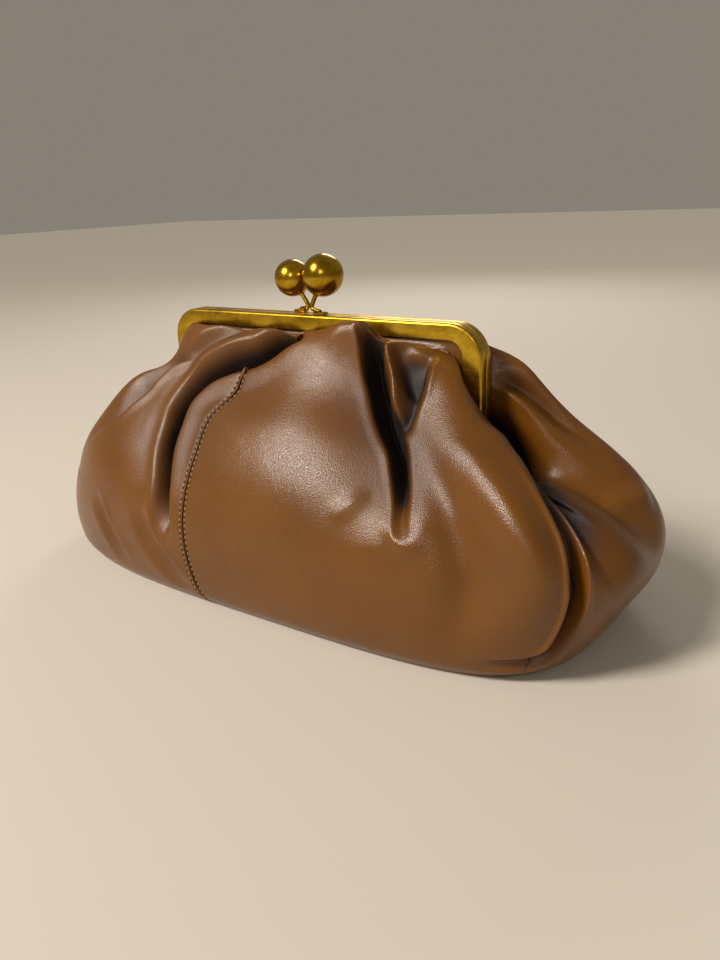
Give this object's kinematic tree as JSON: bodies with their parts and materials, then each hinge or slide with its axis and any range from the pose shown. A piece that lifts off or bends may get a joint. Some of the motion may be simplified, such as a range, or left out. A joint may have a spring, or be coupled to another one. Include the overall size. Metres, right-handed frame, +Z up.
{
  "type": "clutch bag",
  "caption": "Soft gathered leather clutch bag standing on a flat base, closed by a hinged gold metal frame with a ball kiss-lock clasp on top.",
  "frame": {"origin": "centre of the base's underside, on the surface that the bag stands on", "axes": "+X along the bag's length and the frame's bar, -Y out of the front, +Z up to the clasp"},
  "size_m": [0.3695, 0.1607, 0.1815],
  "materials": {
    "gold": "polished gold-toned plating, lightly scratched",
    "leather": "smooth brown nappa leather with a soft sheen"
  },
  "bodies": {
    "root": {"frame_front": "gold", "frame_back": "gold", "hinge_pin_left": "gold", "hinge_pin_right": "gold", "clasp_front": "gold", "clasp_back": "gold", "front_panel": "leather", "right_end_panel": "leather", "back_panel": "leather", "left_end_panel": "leather", "base_panel": "leather"}
  },
  "joints": []
}
